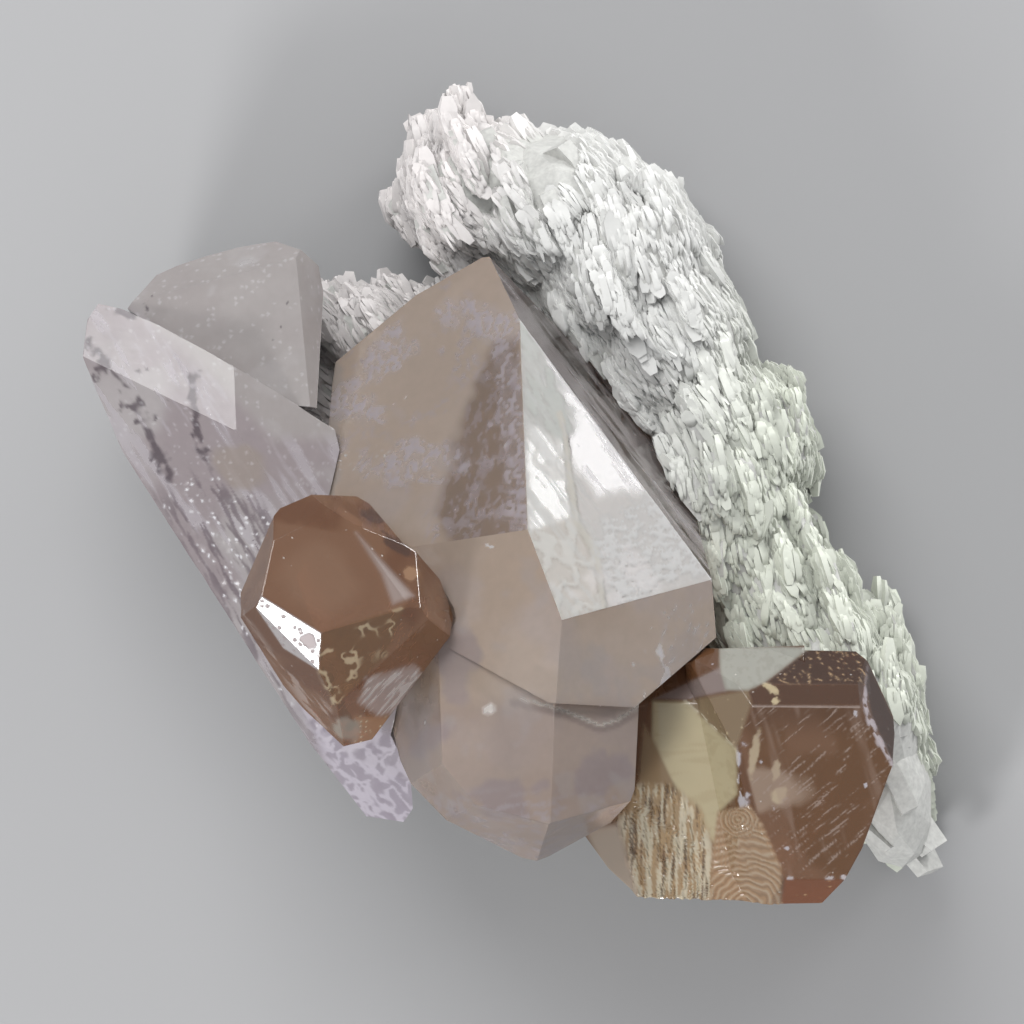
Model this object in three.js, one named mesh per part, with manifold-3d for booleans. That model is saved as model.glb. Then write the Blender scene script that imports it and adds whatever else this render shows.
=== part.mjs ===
// A rough topaz specimen: two brown topaz crystals grown on pale quartz crystals,
// all seated in a matrix of white bladed albite. It lies on the trimmed back of the
// matrix. Millimetres, +Z up, origin under the middle of the specimen.
import * as THREE from "three";
import { ConvexGeometry } from "three/addons/geometries/ConvexGeometry.js";
import { mergeVertices } from "three/addons/utils/BufferGeometryUtils.js";
import Module from "manifold-3d";

const wasm = await Module();
wasm.setup();

// Driving dimensions. Corners below are [x, y, height above the resting plane].
const SOCKET_GAP = 0.3; // clearance between a crystal and the socket it grew in
const SAME_POINT = 0.02; // corners closer than this are one corner
const BIG = 200; // larger than the specimen, for the trimming block
const SIDE_DROP = 10; // depth over which the lean of a side is set out
const BACK_LEAN = 14; // degrees that a crystal's hidden sides close in towards its back
const BLADE_SPACING = 7; // of the coarse albite blades, over the matrix's surface
const BLADE_LENGTH = [6.5, 11.5];
const BLADE_THICK = [1.1, 1.9];
const BLADE_RISE = [0.7, 2.2]; // how far a blade stands out on the top of the matrix
const BLADE_LIFT = 0.14; // slope of a blade against the surface under it
const BLADE_DRIFT = 16; // spread of their directions, degrees

const vec = ([x, y, z]) => new THREE.Vector3(x, y, z);
const radians = THREE.MathUtils.degToRad;

// A repeatable random number from 0 to 1.
function dice(seed) {
  let s = seed >>> 0;
  return () => {
    s = (s + 0x6d2b79f5) >>> 0;
    let t = Math.imul(s ^ (s >>> 15), 1 | s);
    t = (t + Math.imul(t ^ (t >>> 7), 61 | t)) ^ t;
    return ((t ^ (t >>> 14)) >>> 0) / 4294967296;
  };
}
const between = (roll, [low, high]) => low + (high - low) * roll();

// A flat crystal face, as the plane through three points.
class Face {
  constructor(a, b, c) {
    this.plane = new THREE.Plane().setFromCoplanarPoints(vec(a), vec(b), vec(c));
  }
  // The point of the face over x and y, raised by lift.
  at(x, y, lift = 0) {
    const { normal, constant } = this.plane;
    return [x, y, -(normal.x * x + normal.y * y + constant) / normal.z + lift];
  }
}
const face = (a, b, c) => new Face(a, b, c);

// The height of a crystal's upper faces over x and y.
const heightOf = (top, x, y) => Math.min(...top.map((f) => f.at(x, y)[2]));

// The sides of a crystal whose outline, seen from above, runs through points. They start
// where its upper faces end there, and close in below by lean degrees.
function sides({ core, top }, points, lean = BACK_LEAN) {
  const found = [];
  for (let i = 0; i + 1 < points.length; i++) {
    const [a, b] = [new THREE.Vector2(...points[i]), new THREE.Vector2(...points[i + 1])];
    const across = b.clone().sub(a).normalize();
    const inward = new THREE.Vector2(-across.y, across.x);
    if (inward.dot(new THREE.Vector2(core[0], core[1]).sub(a)) < 0) inward.negate();
    const rim = heightOf(top, (a.x + b.x) / 2, (a.y + b.y) / 2);
    const under = a.clone().addScaledVector(inward, SIDE_DROP * Math.tan(radians(lean)));
    found.push(face([a.x, a.y, rim], [b.x, b.y, rim], [under.x, under.y, rim - SIDE_DROP]));
  }
  return found;
}

// Planes that face away from core, moved outwards by grow.
function outward({ core, top, under }, grow = 0) {
  return [...top, ...under].map((f) => {
    const plane = f.plane.clone();
    if (plane.distanceToPoint(vec(core)) > 0) plane.negate();
    plane.constant -= grow;
    return plane;
  });
}

// A convex crystal as one closed geometry: the hull of the points where its faces meet.
function convex(crystal, grow = 0) {
  const planes = outward(crystal, grow);
  const corners = [];
  for (let i = 0; i < planes.length; i++)
    for (let j = i + 1; j < planes.length; j++)
      for (let k = j + 1; k < planes.length; k++) {
        const point = meeting(planes[i], planes[j], planes[k]);
        if (!point || planes.some((p) => p.distanceToPoint(point) > 1e-5)) continue;
        if (!corners.some((c) => c.distanceTo(point) < SAME_POINT)) corners.push(point);
      }
  return new ConvexGeometry(corners);
}

// The point where three planes meet, if they do.
function meeting(a, b, c) {
  const bc = new THREE.Vector3().crossVectors(b.normal, c.normal);
  const ca = new THREE.Vector3().crossVectors(c.normal, a.normal);
  const ab = new THREE.Vector3().crossVectors(a.normal, b.normal);
  const det = a.normal.dot(bc);
  if (Math.abs(det) < 1e-6) return null;
  return new THREE.Vector3()
    .addScaledVector(bc, -a.constant)
    .addScaledVector(ca, -b.constant)
    .addScaledVector(ab, -c.constant)
    .divideScalar(det);
}

function solid(geometry) {
  const bare = geometry.index ? geometry.toNonIndexed() : geometry.clone();
  bare.deleteAttribute("normal");
  bare.deleteAttribute("uv");
  const merged = mergeVertices(bare, 1e-4);
  return new wasm.Manifold(
    new wasm.Mesh({
      numProp: 3,
      vertProperties: new Float32Array(merged.attributes.position.array),
      triVerts: new Uint32Array(merged.index.array),
    }),
  );
}

function geometryOf(manifold) {
  const mesh = manifold.getMesh();
  return new THREE.BufferGeometry()
    .setAttribute("position", new THREE.BufferAttribute(mesh.vertProperties, 3))
    .setIndex(new THREE.BufferAttribute(mesh.triVerts, 1));
}

// The union of a list of solids, in halves so that neighbours join first.
function join(solids) {
  if (solids.length === 1) return solids[0];
  const half = Math.ceil(solids.length / 2);
  return join(solids.slice(0, half)).add(join(solids.slice(half)));
}
const grown = (crystals) => join(crystals.map((c) => solid(convex(c, SOCKET_GAP))));
const inside = (crystal, point) =>
  outward(crystal).every((plane) => plane.distanceToPoint(point) < 0);

// A crystal made of its upper faces, its outline as runs of [points, lean], and its back.
function crystal(core, top, runs, back) {
  const outline = runs.flatMap(([points, lean]) => sides({ core, top }, points, lean));
  return { core, top, under: [...outline, ...back] };
}

// The large quartz crystal: its pointed upper end, as one convex crystal.
const apex = [-2.4, 24.2, 23];
const knee = [0.6, 17.9, 28.2];
const foot = [1.4, -3.1, 40.5];
const beak = [19.8, -8.1, 31];
const shoulder = [16.6, 4.7, 13.4];
const tipLeft = face(apex, knee, foot);
const tipFrosted = face(knee, foot, beak);
const tipRight = face(apex, knee, beak);
const prismEdgeTop = tipFrosted.at(4.8, -12.1);
const prismLeft = face(foot, prismEdgeTop, [-19, -5.7, 31]);
const prismRight = face(prismEdgeTop, prismLeft.at(4.2, -20.1), beak);
const quartzBack = [
  face([5, 0, 9.5], [5.6, -9, 11.2], [-8, 0, 3.2]),
  face([-6, 0, 9.5], [-6, -9, 10.2], [6, 0, -0.4]),
];
const quartzUpper = crystal(
  [0, 0, 26],
  [tipLeft, tipFrosted, tipRight, prismLeft, prismRight],
  [
    [[[-2.4, 24.2], [-7.3, 22.1], [-17.9, 13.9]], 30],
    [[[-17.9, 13.9], [-18.4, 12.2], [-19.1, 1.4], [-19.1, -4]], 8],
    [[[-13, -18], [0.6, -19.9], [3.2, -20.2], [5, -21.1], [8.6, -22.6]], 4],
    [[[8.6, -22.6], [10.3, -22.1], [13.3, -20.1], [20.4, -15.8]], 10],
  ],
  [
    face(beak, prismRight.at(20.4, -15.8), shoulder),
    face(apex, shoulder, [0, 6, 8]),
    ...quartzBack,
  ],
);

// Its lower end, set back a little behind the ledge where the upper growth stops.
const ledgeFoot = prismLeft.at(4, -23.1, -1.3);
const lowerLeft = face(prismLeft.at(-9, -20), prismLeft.at(-9, -30), ledgeFoot);
const lowerRight = face(ledgeFoot, lowerLeft.at(3.6, -34.6), prismRight.at(13.7, -24.9, -1.2));
const cornerLeft = lowerLeft.at(-7, -29.6);
const cornerFront = lowerLeft.at(3.5, -32.4);
const quartzLower = crystal(
  [1, -20, 26],
  [
    lowerLeft,
    lowerRight,
    face(lowerLeft.at(-10.8, -21.9), lowerLeft.at(-7.1, -26.4), [-12.3, -24.4, 33]),
    face(lowerLeft.at(-7.1, -26.4), cornerLeft, [-9.8, -30.1, 34]),
    face(cornerLeft, cornerFront, [-2.1, -34.6, 34.5]),
    face(cornerFront, lowerRight.at(8.1, -31.1), [5, -35.2, 34]),
  ],
  [
    [[[-13, -12], [-12.3, -24.4], [-9.8, -30.1]], 14],
    [[[-9.8, -30.1], [-7.2, -31.6], [1.1, -36.2], [3, -36], [7, -33.8], [11.9, -31.4]], 28],
    [[[11.9, -31.4], [12.2, -28.1], [13.7, -24.9], [13.9, -8]], 14],
  ],
  [...quartzBack, face([-14, -15, 20], [14, -15, 20], [0, -14, 40])],
);

// The long quartz crystal on the left, and the stubby one that it leans on.
const longLeft = face([-39.5, 5.3, 23.5], [-16.1, -31.2, 23.5], [-26.4, 4.5, 30.2]);
const longRight = face(longLeft.at(-30.4, 10.8), longLeft.at(-23.2, 0.1), [-18.4, 4.2, 26.8]);
const longTip = face(longLeft.at(-43, 14.2), longLeft.at(-31.9, 8.8), [-38.2, 18.6, 24.4]);
const longEnd = face(longLeft.at(-16.1, -26), longLeft.at(-11.2, -28), [-13, -32.5, 21]);
const quartzLong = crystal(
  [-28, -2, 16],
  [longLeft, longRight, longTip, longEnd],
  [
    [[[-39.5, 5.3], [-43, 14.2], [-42.8, 17.6], [-41.5, 19.6], [-38.2, 18.6]], 14],
    [[[-38.2, 18.6], [-33.5, 16.4], [-25.6, 11.8], [-17, 6.4]], 4],
    [[[-18.4, 11.8], [-9.8, -29.4]], 8],
    [[[-9.8, -29.4], [-9.9, -32], [-13.8, -32.5], [-16.1, -31.2]], 22],
    [[[-16.1, -31.2], [-39.5, 5.3]], 14],
  ],
  [face([-40, 10, 5], [-30, -10, 5], [-12, -30, 6])],
);
const stubFront = face([-36, 18, 24], [-22, 24, 24.6], [-22, 11, 26.2]);
const quartzStub = crystal(
  [-28, 16, 16],
  [
    stubFront,
    face(stubFront.at(-34.6, 20.6), stubFront.at(-23.5, 23.6), [-29, 25, 20.6]),
    face(stubFront.at(-21.6, 22.5), stubFront.at(-20.6, 12), [-18.6, 17, 22.2]),
  ],
  [
    [[[-39, 18.2], [-36.6, 21.9], [-34.2, 23.1], [-30.4, 24.4], [-26.4, 25.4]], 14],
    [[[-26.4, 25.4], [-22.9, 25.8], [-19.6, 23.9], [-18.2, 16.4], [-19.2, 12.4], [-20.1, 6]], 14],
    [[[-38.9, 19.3], [-33.9, 15.4], [-26.5, 9.6], [-18, 9]], -6],
  ],
  [face([-36, 20, 7], [-20, 20, 6], [-28, 5, 5])],
);

// The topaz on the left, which stands on both quartz crystals.
const brow = face([-23.9, -4.2, 45], [-19.1, -13.4, 47], [-10.3, -10.8, 45]);
const gleam = face(brow.at(-25.1, -9.7), brow.at(-19.1, -13.4), [-22.9, -14.9, 45.1]);
const chin = face(brow.at(-19.1, -13.4), brow.at(-10.3, -10.8), gleam.at(-19.4, -17.1));
const crownLeft = face(brow.at(-23.9, -4.2), brow.at(-20.8, -2.7), [-21.4, 0.2, 41.5]);
const crown = face(brow.at(-20.8, -2.7), brow.at(-15.3, -3.9), [-18.4, 0.8, 41.5]);
const crownRight = face(crown.at(-19.6, -0.2), crown.at(-14.9, -3.2), [-12.4, -2.6, 38]);
const cheek = face(brow.at(-15.3, -3.9), brow.at(-12.4, -8), [-10.6, -5.8, 42.4]);
const topazLeftTop = [
  brow,
  gleam,
  chin,
  crownLeft,
  crown,
  cheek,
  face(brow.at(-23.9, -4.2), brow.at(-25.1, -9.7), [-27.4, -9.4, 40]),
  face(gleam.at(-25.6, -10.9), gleam.at(-19.4, -17.1), [-23.4, -18.6, 38.5]),
  face(chin.at(-17.9, -20.9), chin.at(-9.1, -12.6), [-11.1, -21.6, 36.5]),
  face(cheek.at(-9.6, -6.8), cheek.at(-9.1, -12.6), [-6, -11.4, 38]),
];
const topazLeftBack = [face([-20, -10, 29], [-10, -12, 29], [-16, -20, 30])];
const topazLeftRim = [
  [-6, -11.4], [-6, -12.8], [-9.2, -18.1], [-11.1, -21.6], [-12.2, -24.2], [-18.1, -24.4],
  [-19.8, -22.1], [-23.4, -18.6], [-25.9, -14.6], [-27.4, -10.8], [-27.4, -8.8],
  [-25.6, -5.2], [-23.4, -1.2], [-19.8, 0.7], [-17.2, 1.1],
];
const topazLeftParts = [
  crystal(
    [-17, -12, 38],
    [...topazLeftTop, crownRight],
    [[[...topazLeftRim, [-13.1, -1.2], [-12.2, -3.8]], 20]],
    topazLeftBack,
  ),
  crystal(
    [-12, -9, 38],
    topazLeftTop,
    [[topazLeftRim, 20], [[[-16, -2.7], [-12.2, -3.8], [-8.1, -6.2], [-6, -11.4]], 20]],
    topazLeftBack,
  ),
];

// The topaz on the right: a clear block, and the lower cleaved part beside it.
const shield = face([23.9, -20.8, 37.5], [37.8, -26.6, 35.6], [27.1, -38, 37.2]);
const brim = face(shield.at(23.9, -20.8), shield.at(34.6, -20.9), [29.5, -18.6, 35]);
const roof = face(brim.at(24.1, -18.6), brim.at(34.9, -18.6), [32, -15.1, 29.5]);
const topazRightBack = face([20, -20, 14], [34, -20, 15], [26, -36, 14]);
const topazRightParts = [
  crystal(
    [28, -28, 24],
    [
      shield,
      brim,
      roof,
      face(shield.at(34.6, -20.9), shield.at(37.8, -26.6), [37.2, -19.6, 30]),
      face(shield.at(27.1, -38), shield.at(33.2, -38), [29.5, -40, 34]),
      face(shield.at(23.9, -20.8), shield.at(22.1, -25.1), [17.1, -20.2, 33.6]),
      face(shield.at(22.1, -25.1), shield.at(23.2, -30.4), [19.8, -28, 32]),
      face(shield.at(23.2, -30.4), shield.at(27.1, -38), [21.6, -37, 32]),
    ],
    [
      [[[19, -15], [29.8, -15.1], [34.1, -15.1], [35.5, -16.4], [38.4, -22.9]], 6],
      [[[38.4, -22.9], [37.9, -26.6], [37.2, -28.4], [34.5, -35.5], [31.9, -40]], 14],
      [[[31.9, -40], [12, -40]], 8],
    ],
    [face([17, -15, 30], [19, -40, 30], [18, -30, 15]), topazRightBack],
  ),
  crystal(
    [18, -30, 22],
    [
      face([14, -20.2, 31.6], [22, -28, 32.6], [12, -38, 30]),
      face([13.4, -20.4, 31.5], [22.8, -19.6, 32.6], [19, -14.9, 29.2]),
    ],
    [
      [[[26, -14.9], [19, -14.9], [12.8, -18.8], [9, -27], [7, -33.6], [9.7, -37.2]], 14],
      [[[9.7, -37.2], [12.8, -40], [28, -40]], 8],
    ],
    [face([29, -20, 30], [29, -38, 30], [28, -30, 16]), topazRightBack],
  ),
];

// The albite matrix: overlapping mounds, each [x, y, radius x, radius y, turn, top].
const MOUND_MIDDLE = 8.5; // height of a mound's widest level
const MOUND_DEPTH = 15; // from there to its lowest point, below the trimmed back
const mounds = [
  [-5.4, 30.6, 6, 7.2, 20, 20],
  [-0.6, 31.6, 5.6, 5.4, 0, 19],
  [4.4, 28.6, 9.2, 8.4, 0, 23],
  [10.8, 23.3, 9.5, 10.8, 20, 25],
  [15, 15.8, 8.9, 10.8, 10, 24],
  [24.7, 5.7, 5.6, 7, 10, 19],
  [18.3, 0, 10.8, 11, 0, 24],
  [25.6, -11, 7.9, 9.8, 20, 22],
  [22.4, -5.4, 8, 8, 0, 22],
  [19.4, 8.4, 7, 8, 0, 23],
  [30.4, -16.4, 7, 8, 30, 21],
  [33.8, -22.2, 7.8, 8.8, 30, 20],
  [37.7, -29.2, 4.4, 8.2, 10, 17],
  [1, 3, 18, 22, 0, 15],
  [-14.8, 16.6, 4.6, 4.6, 0, 17],
  [-22, 7, 11, 12, 35, 13],
  [-17.6, -9, 8, 14, 30, 13],
  [20, -26, 14, 10, 0, 15],
  [0, -18, 11, 12, 0, 16],
  [13, -12, 9, 9, 0, 16],
].map(([x, y, rx, ry, turn, top]) => ({ x, y, rx, ry, turn: radians(turn), top }));

// The surface point of a mound in the direction of a unit vector.
function moundPoint(mound, way, swell = 1) {
  const local = new THREE.Vector3(way.x * mound.rx, way.y * mound.ry, 0).multiplyScalar(swell);
  local.applyAxisAngle(new THREE.Vector3(0, 0, 1), mound.turn);
  const high = (way.z < 0 ? MOUND_DEPTH : mound.top - MOUND_MIDDLE) * swell;
  return local.add(new THREE.Vector3(mound.x, mound.y, MOUND_MIDDLE + way.z * high));
}

function insideMound(mound, point, share) {
  const local = point.clone().sub(new THREE.Vector3(mound.x, mound.y, MOUND_MIDDLE));
  local.applyAxisAngle(new THREE.Vector3(0, 0, 1), -mound.turn);
  const high = local.z < 0 ? MOUND_DEPTH : mound.top - MOUND_MIDDLE;
  local.divide(new THREE.Vector3(mound.rx, mound.ry, high));
  return local.length() < share;
}

function moundSolid(mound, seed) {
  const roll = dice(seed);
  const waves = [0, 1, 2].map(() => [roll() * 4 + 2, roll() * 4 + 2, roll() * 6]);
  const geometry = mergeVertices(stripped(new THREE.IcosahedronGeometry(1, 1)), 1e-4);
  const at = geometry.attributes.position;
  for (let i = 0; i < at.count; i++) {
    const way = new THREE.Vector3().fromBufferAttribute(at, i);
    const bumps = waves.map(([u, v, w]) => Math.sin(u * way.x + v * way.y + w + 3 * way.z));
    const p = moundPoint(mound, way, 0.99 + 0.02 * (bumps[0] + bumps[1] + bumps[2]));
    at.setXYZ(i, p.x, p.y, p.z);
  }
  return solid(geometry);
}

function stripped(geometry) {
  geometry.deleteAttribute("normal");
  geometry.deleteAttribute("uv");
  return geometry;
}

// The way that the albite blades run across the specimen, in degrees from +X.
function grain(x, y) {
  const steep = THREE.MathUtils.clamp((x + 12) / 30, 0, 1);
  return 122 - 14 * steep + 9 * Math.sin(0.21 * x - 0.16 * y) - 6 * Math.cos(0.13 * y + 1);
}

// One blade: a thin plate with a chisel tip, its length along run and its edge along out.
function blade(at, run, out, length, wide, thick, slant) {
  const outline = new THREE.Shape([
    new THREE.Vector2(-length / 2, -wide / 2),
    new THREE.Vector2(length / 2, -wide / 2),
    new THREE.Vector2(length / 2, wide / 2 - slant),
    new THREE.Vector2(length / 2 - 2.2 * slant, wide / 2),
    new THREE.Vector2(-length / 2 + slant, wide / 2),
  ]);
  const plate = new THREE.ExtrudeGeometry(outline, { depth: thick, bevelEnabled: false });
  const side = new THREE.Vector3().crossVectors(run, out).normalize();
  const edge = new THREE.Vector3().crossVectors(side, run).normalize();
  const turn = new THREE.Matrix4().makeBasis(run, edge, side);
  return solid(plate.translate(0, 0, -thick / 2).applyMatrix4(turn).translate(at.x, at.y, at.z));
}

const crystals = [quartzUpper, quartzLower, quartzLong, quartzStub, ...topazRightParts];

// A blade whose tip stands at a point, its body running back into the matrix.
function bladeAt(tip, way, roll, { long, thick, wide, lift }) {
  const angle = radians(grain(tip.x, tip.y) + BLADE_DRIFT * (roll() - 0.5));
  const flow = new THREE.Vector3(Math.cos(angle), Math.sin(angle), 0);
  if (flow.dot(way) < 0) flow.negate();
  const run = flow.addScaledVector(way, lift).normalize();
  const outward = way.clone().addScaledVector(run, -way.dot(run)).normalize();
  const back = tip.clone().addScaledVector(run, -long / 2);
  const at = back.addScaledVector(outward, -wide / 2);
  return blade(at, run, outward, long, wide, thick, 0.8 + 0.7 * roll());
}

// Coarse blades over every bare stretch of the mounds.
function coveringBlades() {
  const roll = dice(5);
  const made = [];
  mounds.forEach((mound, n) => {
    const spread = Math.sqrt((mound.rx * mound.ry + mound.rx * mound.top) / 2);
    const count = Math.round((4 * Math.PI * spread ** 2) / BLADE_SPACING ** 2);
    for (let i = 0; i < count; i++) {
      const z = 1 - (2 * (i + 0.5)) / count;
      const round = i * Math.PI * (3 - Math.sqrt(5)) + n;
      const flat = Math.sqrt(1 - z * z);
      const way = new THREE.Vector3(flat * Math.cos(round), flat * Math.sin(round), z);
      const skin = moundPoint(mound, way, 0.96);
      const others = mounds.filter((m) => m !== mound);
      if (skin.z < 3 || others.some((m) => insideMound(m, skin, 0.94))) continue;
      if (crystals.some((c) => inside(c, skin.clone().add(way)))) continue;
      const rise = between(roll, BLADE_RISE) * (0.3 + Math.max(way.z, 0));
      const tip = skin.addScaledVector(way, rise);
      const long = Math.min(between(roll, BLADE_LENGTH), 1.5 * Math.min(mound.rx, mound.ry));
      const shape = { long, thick: between(roll, BLADE_THICK), wide: 4 + 1.5 * roll(), lift: BLADE_LIFT };
      made.push(bladeAt(tip, way, roll, shape));
    }
  });
  return made;
}

// The blades whose tips mark the outline of the matrix, each [x, y, height, facing].
const outlineTips = [
  [-13.5, 28.2, 9, 185], [-11.6, 31.2, 8, 160], [-9.2, 35.4, 9, 140], [-7.2, 39.6, 9, 112],
  [-3.9, 38.9, 10, 100], [1.9, 37.8, 10, 90], [7.2, 36.4, 10, 75], [12.6, 34.8, 10, 60],
  [17.7, 30.8, 10, 45], [21.5, 26.2, 10, 30], [23.2, 19.2, 10, 15], [24.8, 14.3, 9, 30],
  [29.7, 12, 9, 40], [30.2, 8.6, 9, 10], [31.6, 4, 9, 0], [30.2, -2, 9, -20],
  [32.6, -6.8, 10, 20], [34.8, -11, 9, 20], [37.2, -13.4, 9, 40], [40.3, -16.6, 9, 30],
  [42.3, -20.8, 9, 15], [42.8, -25, 8, 0], [42.3, -32.6, 8, -15], [40.3, -38, 8, -70],
  [37.2, -36.8, 7, -100], [-11.6, 22.2, 8, 120], [-17, 21.6, 8, 110],
];
function outlineBlades() {
  const roll = dice(9);
  const shape = { long: 7, thick: 1.5, wide: 4, lift: 1 };
  return outlineTips.map(([x, y, z, facing]) => {
    const way = new THREE.Vector3(Math.cos(radians(facing)), Math.sin(radians(facing)), 0.25);
    return bladeAt(new THREE.Vector3(x, y, z), way.normalize(), roll, shape);
  });
}

const slab = solid(new THREE.BoxGeometry(BIG, BIG, BIG).translate(0, 0, BIG / 2));
const blades = [...coveringBlades(), ...outlineBlades()];
const albite = join([...mounds.map((m, n) => moundSolid(m, n + 1)), ...blades])
  .intersect(slab)
  .subtract(grown(crystals));
const topazLeft = join(topazLeftParts.map((c) => solid(convex(c))));
const topazRight = join(topazRightParts.map((c) => solid(convex(c)))).subtract(
  grown([quartzUpper, quartzLower]),
);
const quartzMain = join([quartzUpper, quartzLower].map((c) => solid(convex(c)))).subtract(
  grown(topazLeftParts),
);
const quartzLeft = join([quartzLong, quartzStub].map((c) => solid(convex(c)))).subtract(
  grown([...topazLeftParts, quartzUpper, quartzLower]),
);

const finishes = {
  albite: { color: 0xe9ebe4, roughness: 0.55 },
  quartz: { color: 0xb3a8a2, roughness: 0.2 },
  topaz: { color: 0x8a5c3c, roughness: 0.08 },
};

// The largest body of a solid: what a cut leaves loose falls away.
const largest = (s) => s.decompose().sort((a, b) => b.volume() - a.volume())[0];

const specimen = new THREE.Group();
for (const [name, made, finish] of [
  ["albite_matrix", albite, finishes.albite],
  ["quartz_main", quartzMain, finishes.quartz],
  ["quartz_left", quartzLeft, finishes.quartz],
  ["topaz_left", topazLeft, finishes.topaz],
  ["topaz_right", topazRight, finishes.topaz],
]) {
  const material = new THREE.MeshStandardMaterial({ metalness: 0, ...finish });
  const mesh = new THREE.Mesh(geometryOf(largest(made)), material);
  mesh.name = name;
  specimen.add(mesh);
}

// The origin stands under the middle of the specimen.
const bounds = new THREE.Box3().setFromObject(specimen);
const middle = bounds.getCenter(new THREE.Vector3());
for (const mesh of specimen.children) mesh.position.set(-middle.x, -middle.y, -bounds.min.z);

export default specimen;
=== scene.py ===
"""A brown topaz specimen: topaz on smoky quartz in white bladed albite, seen from straight above."""
import itertools
import math

import bmesh
import bpy
import numpy as np
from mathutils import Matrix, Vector
from mathutils.bvhtree import BVHTree


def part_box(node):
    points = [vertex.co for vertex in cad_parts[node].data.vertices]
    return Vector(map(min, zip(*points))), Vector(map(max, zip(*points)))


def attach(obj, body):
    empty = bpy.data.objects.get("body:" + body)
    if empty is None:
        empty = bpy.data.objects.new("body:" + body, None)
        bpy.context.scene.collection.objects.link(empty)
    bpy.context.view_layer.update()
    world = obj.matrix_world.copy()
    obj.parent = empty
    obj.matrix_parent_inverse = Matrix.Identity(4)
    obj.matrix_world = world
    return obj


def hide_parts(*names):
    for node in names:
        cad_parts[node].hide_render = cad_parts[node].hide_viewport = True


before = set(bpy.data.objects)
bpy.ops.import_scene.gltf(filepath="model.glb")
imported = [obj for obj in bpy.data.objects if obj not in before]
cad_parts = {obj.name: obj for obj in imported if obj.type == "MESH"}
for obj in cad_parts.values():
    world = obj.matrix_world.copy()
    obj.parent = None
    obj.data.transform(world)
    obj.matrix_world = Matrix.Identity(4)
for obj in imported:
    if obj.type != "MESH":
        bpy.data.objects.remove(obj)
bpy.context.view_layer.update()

MM = 0.001
UP = (0, 0, 1)

# Places are given in millimetres from the middle of the photographed outline. The lowest corner
# of the large quartz crystal says where that middle lies in the frame.
QUARTZ_CORNER = (-19.280, -36.156)
quartz_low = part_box("quartz_main")[0]
SHIFT = np.array([quartz_low[0] / MM - QUARTZ_CORNER[0], quartz_low[1] / MM - QUARTZ_CORNER[1], 0])


# Camera, floor and light

VIEW_MIDDLE = (-0.15, -1.35, 25.0)
VIEW_WIDTH = 102.4
CAMERA_HEIGHT = 4000.0
SENSOR = 36.0


def add_camera():
    data = bpy.data.cameras.new("camera")
    data.sensor_width = SENSOR
    data.lens = SENSOR * CAMERA_HEIGHT / VIEW_WIDTH
    data.clip_start = 0.5
    data.clip_end = 20
    camera = bpy.data.objects.new("camera", data)
    camera.location = (np.array(VIEW_MIDDLE) + SHIFT + (0, 0, CAMERA_HEIGHT)) * MM
    bpy.context.scene.collection.objects.link(camera)
    bpy.context.scene.camera = camera


def add_softbox(name, toward, distance, width, depth, power, colour=(1, 1, 1)):
    direction = Vector(toward).normalized()
    data = bpy.data.lights.new(name, "AREA")
    data.shape = "RECTANGLE"
    data.size = width
    data.size_y = depth
    data.energy = power
    data.color = colour
    lamp = bpy.data.objects.new(name, data)
    lamp.location = Vector((0, 0, 0.025)) + direction * distance
    lamp.rotation_euler = direction.to_track_quat("Z", "Y").to_euler()
    lamp.visible_camera = False
    bpy.context.scene.collection.objects.link(lamp)


def add_lights():
    add_softbox("main_softbox", (-0.30, 0.70, 0.80), 0.8, 0.55, 0.45, 4.1)
    add_softbox("frosted_face_softbox", (0.74, 0.66, 0.11), 0.7, 0.26, 0.16, 2.2)
    add_softbox("small_face_softbox", (-0.49, -0.70, 0.53), 0.6, 0.12, 0.12, 1.6)


def add_room():
    world = bpy.data.worlds.new("room")
    world.use_nodes = True
    background = world.node_tree.nodes["Background"]
    background.inputs["Color"].default_value = (0.82, 0.83, 0.85, 1)
    background.inputs["Strength"].default_value = 0.62
    bpy.context.scene.world = world


def add_floor():
    half = 6.0
    corners = [(-half, -half, 0), (half, -half, 0), (half, half, 0), (-half, half, 0)]
    mesh = bpy.data.meshes.new("floor")
    mesh.from_pydata(corners, [], [(0, 1, 2, 3)])
    floor = bpy.data.objects.new("floor", mesh)
    bpy.context.scene.collection.objects.link(floor)
    material = bpy.data.materials.new("floor_paint")
    material.use_nodes = True
    shader = material.node_tree.nodes["Principled BSDF"]
    shader.inputs["Base Color"].default_value = (0.42, 0.42, 0.425, 1)
    shader.inputs["Roughness"].default_value = 0.8
    mesh.materials.append(material)


# Natural unevenness


def cell_values(cells, seed):
    """A repeatable number from 0 to 1 for every whole-numbered cell."""
    mixed = cells[..., 0] * 374761393 + cells[..., 1] * 668265263 + cells[..., 2] * 1442695041
    mixed = mixed + seed * 97531
    mixed = (mixed ^ (mixed >> 13)) * 1274126177
    return ((mixed ^ (mixed >> 16)) & 0xFFFFF) / 0xFFFFF


def ripple(place, size, seed):
    """Smooth noise from 0 to 1 whose lumps are as wide as size."""
    scaled = place / size
    cell = np.floor(scaled).astype(np.int64)
    part = scaled - cell
    part = part * part * (3 - 2 * part)
    total = np.zeros(len(place))
    for corner in itertools.product((0, 1), repeat=3):
        weight = np.prod(np.where(corner, part, 1 - part), axis=1)
        total += weight * cell_values(cell + corner, seed)
    return total


TILT = np.array([[0.80, -0.48, 0.36], [0.60, 0.64, -0.48], [0.00, 0.60, 0.80]])


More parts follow.
